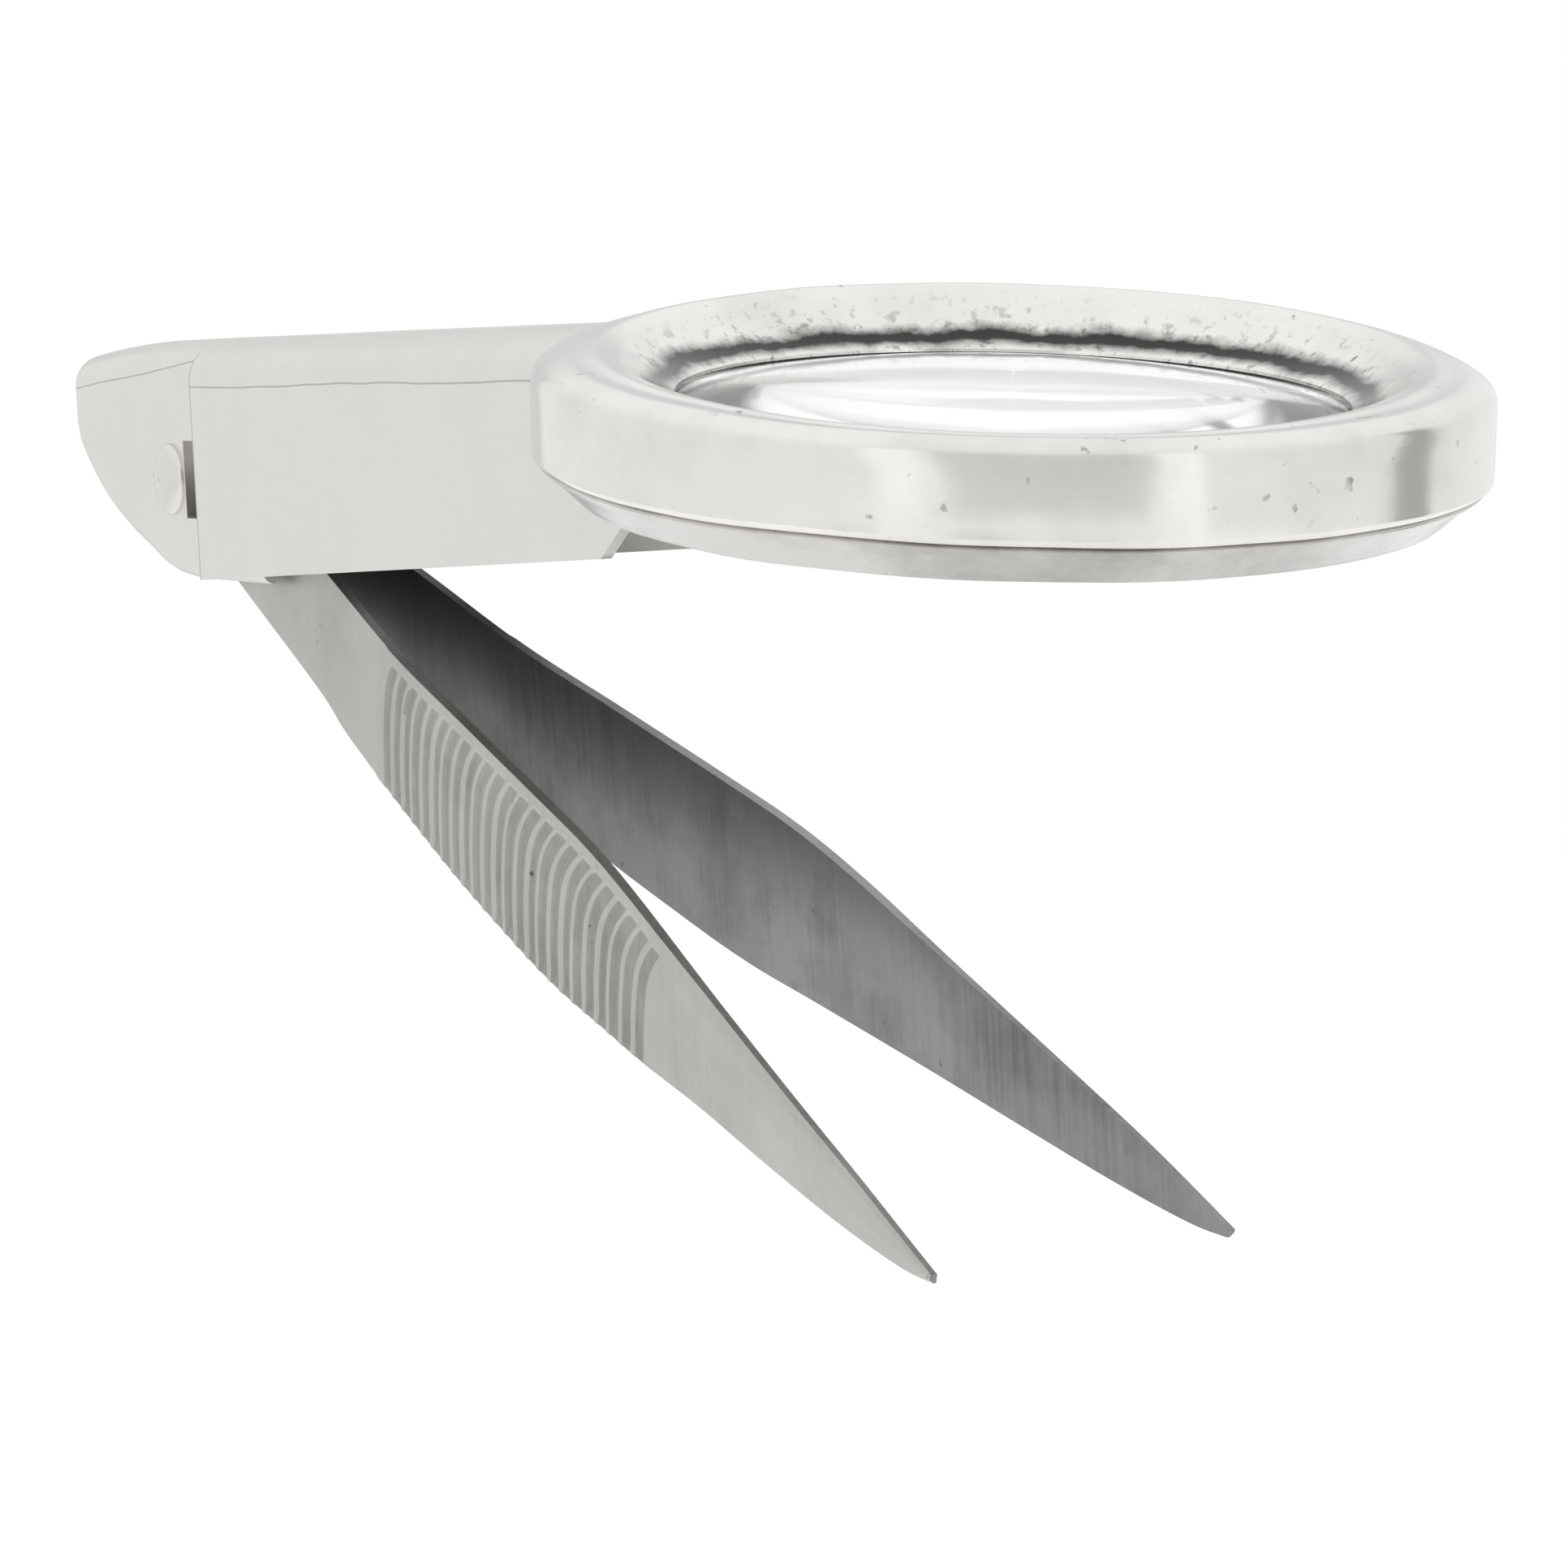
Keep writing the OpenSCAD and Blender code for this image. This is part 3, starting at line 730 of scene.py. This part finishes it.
def add_painted_bend_reflection_and_edge_shadow(material):
    """Thin dark painted reflection line where each side of the sheet starts to bend, and a painted shadow
    along each panel's front edge.
    """
    shader, place, add = reopen(material)
    split = add("ShaderNodeSeparateXYZ", [(0, place)])
    x, y, z = (maths(add, "DIVIDE", split.outputs[k], MM) for k in range(3))
    out = maths(add, "ABSOLUTE", y)
    wander = add("ShaderNodeTexNoise", [("Vector", place), ("Scale", LINE_WANDER_SCALE)]).outputs["Fac"]
    on_nose = maths(add, "LESS_THAN", x, PIVOT.x + PANEL_START)
    from_pivot = maths(add, "SUBTRACT", x, PIVOT.x)
    nose_line = maths(add, "MULTIPLY_ADD", from_pivot, NOSE_LINE_SLOPE, PIVOT.z + NOSE_LINE_Z)
    on_panel = maths(add, "SUBTRACT", 1.0, on_nose)
    line = maths(add, "ADD", times(add, on_nose, nose_line), times(add, on_panel, PIVOT.z + PANEL_LINE_Z))
    line = maths(add, "ADD", line, times(add, wander, LINE_WANDER))
    off = maths(add, "ABSOLUTE", maths(add, "SUBTRACT", z, line))
    # The dark line along the bend is a painted reflection
    painted_reflection_line = times(add, maths(add, "LESS_THAN", off, REFLECTION_LINE_HALF_W),
                    maths(add, "GREATER_THAN", out, NOSE_SIDE))
    # The dark band at each panel's front edge is a painted shadow cast by that edge
    from_front = maths(add, "ABSOLUTE", maths(add, "SUBTRACT", x, PIVOT.x + PANEL_START))
    front = times(add, maths(add, "LESS_THAN", from_front, EDGE_SHADOW_HALF_W),
                  maths(add, "GREATER_THAN", out, PANEL_SIDE))
    painted_line_and_shadow = maths(add, "MAXIMUM", painted_reflection_line, front)
    paint_over(add, shader, times(add, painted_line_and_shadow, PAINTED_LINE_AND_SHADOW_SHARE), PAINTED_LINE_AND_SHADOW_TONE)


def add_painted_shade_near_housing(material):
    """Paints shade onto the steel towards the closed end of the tweezers, where the housing shades the arms.
    """
    shader, place, add = reopen(material)
    x = add("ShaderNodeSeparateXYZ", [(0, place)]).outputs[0]
    start, end = ((PIVOT.x + distance) * MM for distance in PAINTED_SHADE_X)
    # Painted shade, strongest near the housing and fading out along the arms
    paint_over(add, shader, ramp_of(add, x, start, end, PAINTED_SHADE_SHARE, 0.0), PAINTED_SHADE_TONE)


def add_dark_lip_and_specks(material):
    """Darkens the lip around the lens, with ragged edges and specks on the slope beside it."""
    shader, place, add = reopen(material)
    local = add("ShaderNodeMapping", [("Vector", place), ("Location", (PIVOT + RING_CENTRE) * MM),
                                      ("Rotation", (0, RING_TILT, 0))], vector_type="TEXTURE").outputs[0]
    flat = add("ShaderNodeVectorMath", [(0, local), (1, (1, 1, 0))], operation="MULTIPLY").outputs[0]
    length = add("ShaderNodeVectorMath", [(0, flat)], operation="LENGTH").outputs["Value"]
    radius = maths(add, "DIVIDE", length, MM)
    ragged = maths(add, "SUBTRACT", noise_of(add, place, RAGGED_SCALE, detail=5), 0.5)
    edge = maths(add, "ADD", radius, times(add, ragged, RAGGED_MM))
    lip = times(add, ramp_of(add, edge, *LIP_OUTER), ramp_of(add, edge, *LIP_INNER))
    specks = ramp_of(add, noise_of(add, place, WEAR_SPECKS, detail=3), *WEAR_RANGE)
    beside = times(add, times(add, ramp_of(add, edge, *SPECK_BAND), specks), SPECK_SHARE)
    paint_over(add, shader, beside, SPECK_TONE)
    # Darker tone laid on the lip around the lens
    paint_over(add, shader, lip, LIP_TONE)


def glass():
    """Clear glass with faint streaks."""
    material, tree, shader, place, add = nodes_of("clear_glass")
    streaks = noise_of(add, place, 1.0, (25, 110, 25), detail=3)
    shader.inputs["Base Color"].default_value = (1, 1, 1, 1)
    shader.inputs["Transmission Weight"].default_value = 1.0
    shader.inputs["IOR"].default_value = 1.5
    tree.links.new(ramp_of(add, streaks, 0.35, 0.75, 0.01, 0.12), shader.inputs["Roughness"])
    return material


def card():
    """Dark fibre card."""
    material, tree, shader, place, add = nodes_of("fibre_card")
    fibres = noise_of(add, place, 900.0, detail=5)
    tone = blend_of(add, fibres, (0.1, 0.1, 0.1, 1), (0.15, 0.15, 0.145, 1))
    tree.links.new(tone, shader.inputs["Base Color"])
    shader.inputs["Roughness"].default_value = 0.85
    return material


ALONG_X = (300, 300, 2600)
EVEN = (500, 500, 500)
NICKEL = metal("nickel_plate", (0.69, 0.68, 0.65), (0.56, 0.55, 0.52), 0.2, ALONG_X,
               stains=0.3, pits=0.25, bump=0.05, shine=0.08)
HOUSING_NICKEL = metal("housing_nickel", (0.7, 0.69, 0.66), (0.62, 0.61, 0.58), 0.26, ALONG_X,
                       stains=0.3, pits=0.05, bump=0.015, shine=0.06)
RING_NICKEL = metal("ring_nickel", (0.77, 0.76, 0.73), (0.5, 0.49, 0.46), 0.09, EVEN,
                    stains=0.45, pits=0.75, bump=0.05, shine=0.1)
BASE_NICKEL = metal("base_nickel", (0.6, 0.59, 0.57), (0.26, 0.25, 0.235), 0.2, EVEN,
                    stains=0.8, pits=0.9, bump=0.1, shine=0.1)
OUTER_STEEL = metal("satin_steel", (0.44, 0.435, 0.415), (0.3, 0.29, 0.27), 0.36, (2600, 2600, 200),
                    stains=0.4, pits=0.5, bump=0.1, shine=0.2)
# Dark steel for the arms' inner faces and edges: partly the steel's own tarnish, partly painted shade between
# the arms and a painted dark reflection on the edges
DARK_STEEL_WITH_PAINTED_SHADE = metal("dark_steel_with_painted_shade", (0.255, 0.252, 0.245), (0.07, 0.068, 0.065), 0.32, (3000, 3000, 130),
                    stains=0.85, pits=0.5, bump=0.12, shine=0.45)
GROOVE_STEEL = metal("groove_steel", (0.36, 0.355, 0.34), (0.18, 0.176, 0.168), 0.5, (2600, 2600, 900),
                     stains=0.7, pits=0.9, bump=0.45, shine=0.3)
WIRE = metal("wire_steel", (0.4, 0.4, 0.4), (0.25, 0.24, 0.23), 0.3, (900, 900, 900))
BRASS = metal("turned_brass", (0.6, 0.43, 0.17), (0.35, 0.22, 0.08), 0.3, (900, 2600, 900))
BRONZE = metal("stamped_bronze", (0.45, 0.25, 0.12), (0.25, 0.13, 0.06), 0.35, (900, 900, 900))
# Painted reflection line and painted edge shadow on the housing
add_painted_bend_reflection_and_edge_shadow(HOUSING_NICKEL)
# Painted shade on the arms near the housing
add_painted_shade_near_housing(DARK_STEEL_WITH_PAINTED_SHADE)
add_dark_lip_and_specks(RING_NICKEL)


def finish_node(node, material):
    """Gives a carried-over CAD node its material."""
    shape = frame["nodes"][node]
    shape.data.materials.clear()
    shape.data.materials.append(material)


def fit(piece, material, body, slot, *stands_for):
    """Gives a piece its first material and its body, and hides the CAD nodes it stands for; the slot is not
    used.
    """
    piece.data.materials.append(material)
    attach(piece, body)
    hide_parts(*stands_for)


def dress_arm(piece, side):
    """Dark steel on an arm's inner face and edges, partly tarnish and partly painted shade and painted
    reflection, and speckled steel in the outer face's grooves.
    """
    piece.data.materials.append(DARK_STEEL_WITH_PAINTED_SHADE)
    piece.data.materials.append(GROOVE_STEEL)
    top_edge, low_edge = arm_edge(ARM_TOP), arm_edge(ARM_LOW)
    back = Matrix.Rotation(-OPEN, 3, "Y")
    for face in piece.data.polygons:
        # Inner faces and edges take the dark steel with its painted shade and painted reflection
        if side * face.normal.y < OUTER_NORMAL:
            face.material_index = INNER
            continue
        place = back @ (face.center / MM - PIVOT)
        top, low = across_at(top_edge, place.x), across_at(low_edge, place.x)
        deep = groove_relief(place.x, place.z, top, min(low, place.z - LOW_FADE))
        face.material_index = GROOVE if deep > GROOVE_DEPTH / 3 else OUTER


fit(make_housing(), HOUSING_NICKEL, "housing", "nickel", "housing_shell")
fit(make_bezel(), RING_NICKEL, "housing", "nickel", "ring_bezel")
fit(make_base(), BASE_NICKEL, "housing", "nickel", "ring_base")
fit(make_lens(), glass(), "housing", "glass", "lens")
fit(make_rivet(), NICKEL, "housing", "nickel", "pivot_rivet")
for arm_name, arm_side in (("front_arm", -1), ("back_arm", 1)):
    arm = make_arm(arm_name + "_blade", arm_side)
    fit(arm, OUTER_STEEL, arm_name, "blade_steel", arm_name)
    dress_arm(arm, arm_side)
finish_node("ring_bracket", NICKEL)
finish_node("lens_split_ring", WIRE)
finish_node("lens_shim", card())
for part in ("bush_near", "bush_far"):
    finish_node(part, BRASS)
finish_node("friction_washer", BRONZE)
for part in ("heel_spacer", "heel_rivets", "front_heel", "back_heel"):
    finish_node(part, DARK_STEEL_WITH_PAINTED_SHADE)


# Floor, light and camera

FLOOR_R = 0.12
FLOOR_X = 0.03
FLOOR_GAP = 0.0002
FLOOR_GLOW = 0.86


def make_floor():
    """Round pale floor just under the lowest point."""
    bpy.ops.mesh.primitive_circle_add(vertices=128, radius=FLOOR_R, fill_type="NGON",
                                      location=(FLOOR_X, 0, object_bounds()[0].z - FLOOR_GAP))
    floor = bpy.context.object
    floor.name = "floor"
    material, tree, shader, place, add = nodes_of("pale_floor")
    tone = blend_of(add, noise_of(add, place, 60.0), (0.2, 0.2, 0.2, 1), (0.22, 0.22, 0.22, 1))
    tree.links.new(tone, shader.inputs["Base Color"])
    shader.inputs["Roughness"].default_value = 0.9
    shader.inputs["Emission Color"].default_value = (1, 1, 1, 1)
    shader.inputs["Emission Strength"].default_value = FLOOR_GLOW
    floor.data.materials.append(material)


# Studio cards around the object: azimuths in degrees, softness of the edges, added brightness
CARDS = [(-61.8, -46.8, 3, 0.26), (-46, 2.5, 4, -0.16), (3, 17, 3, 0.24), (73, 87, 4, -0.5),
         (140, 200, 14, -0.25)]

# Heights between which the cards fade in and out, and the sky's brightness
CARDS_LOW = (-0.75, -0.55)
CARDS_HIGH = (0.3, 0.5)
SKY_HEIGHTS = (0.1, 0.9)
SKY_GAIN = 0.13
SKY_BASE = 0.97


def make_world():
    """White surroundings with a few brighter and darker cards that the metal mirrors."""
    world = bpy.data.worlds.new("studio")
    world.use_nodes = True
    bpy.context.scene.world = world
    back = world.node_tree.nodes["Background"]
    add = adder(world.node_tree)

    def edge(value, low, high):
        return add("ShaderNodeMapRange", [("Value", value), ("From Min", low), ("From Max", high)],
                   interpolation_type="SMOOTHSTEP").outputs[0]

    def band(value, low, high):
        return times(add, edge(value, *low), maths(add, "SUBTRACT", 1.0, edge(value, *high)))

    split = add("ShaderNodeSeparateXYZ", [(0, add("ShaderNodeTexCoord").outputs["Generated"])])
    turn = maths(add, "ARCTAN2", split.outputs[1], split.outputs[0])
    azimuth = times(add, turn, 180 / math.pi)
    height = split.outputs[2]
    belt = band(height, CARDS_LOW, CARDS_HIGH)
    light = maths(add, "ADD", times(add, edge(height, *SKY_HEIGHTS), SKY_GAIN), SKY_BASE)
    for start, end, soft, gain in CARDS:
        half = soft / 2
        card_mask = band(azimuth, (start - half, start + half), (end - half, end + half))
        light = maths(add, "ADD", light, times(add, times(add, card_mask, belt), gain))
    seen = add("ShaderNodeLightPath").outputs["Is Camera Ray"]
    light = maths(add, "ADD", times(add, light, maths(add, "SUBTRACT", 1.0, seen)), seen)
    world.node_tree.links.new(light, back.inputs["Strength"])
    back.inputs["Color"].default_value = (1, 1, 1, 1)


def make_light(name, place, aim, size, watts):
    """Square area light that the metal doesn't mirror."""
    lamp = bpy.data.lights.new(name, "AREA")
    lamp.shape = "SQUARE"
    lamp.size = size
    lamp.energy = watts
    holder = bpy.data.objects.new(name, lamp)
    bpy.context.scene.collection.objects.link(holder)
    holder.location = place
    holder.visible_glossy = False
    holder.rotation_mode = "QUATERNION"
    holder.rotation_quaternion = (Vector(aim) - Vector(place)).to_track_quat("-Z", "Y")


# The photo's viewpoint: place in millimetres from the pivot, axes, and focal length in millimetres
CAMERA_PLACE = (264.28, -99.01, 8.87)
CAMERA_RIGHT = (0.45777, 0.88779, -0.04767)
CAMERA_UP = (-0.06897, 0.08891, 0.99365)
CAMERA_BACK = (0.88640, -0.45157, 0.10192)
FOCAL_LENGTH = 108.9


def make_camera():
    """Camera at the photo's viewpoint."""
    data = bpy.data.cameras.new("camera")
    data.sensor_width = 36
    data.lens = FOCAL_LENGTH
    data.clip_start = 0.01
    data.clip_end = 10
    camera = bpy.data.objects.new("camera", data)
    bpy.context.scene.collection.objects.link(camera)
    turn = Matrix((CAMERA_RIGHT, CAMERA_UP, CAMERA_BACK)).transposed()
    camera.matrix_world = Matrix.Translation(at_pivot(*CAMERA_PLACE)) @ turn.to_4x4()
    bpy.context.scene.camera = camera


make_floor()
make_world()
make_light("key", place=(0.1, -0.35, 0.5), aim=(0.02, 0, -0.01), size=0.35, watts=1.2)
make_camera()
bpy.context.scene.view_settings.view_transform = "Standard"
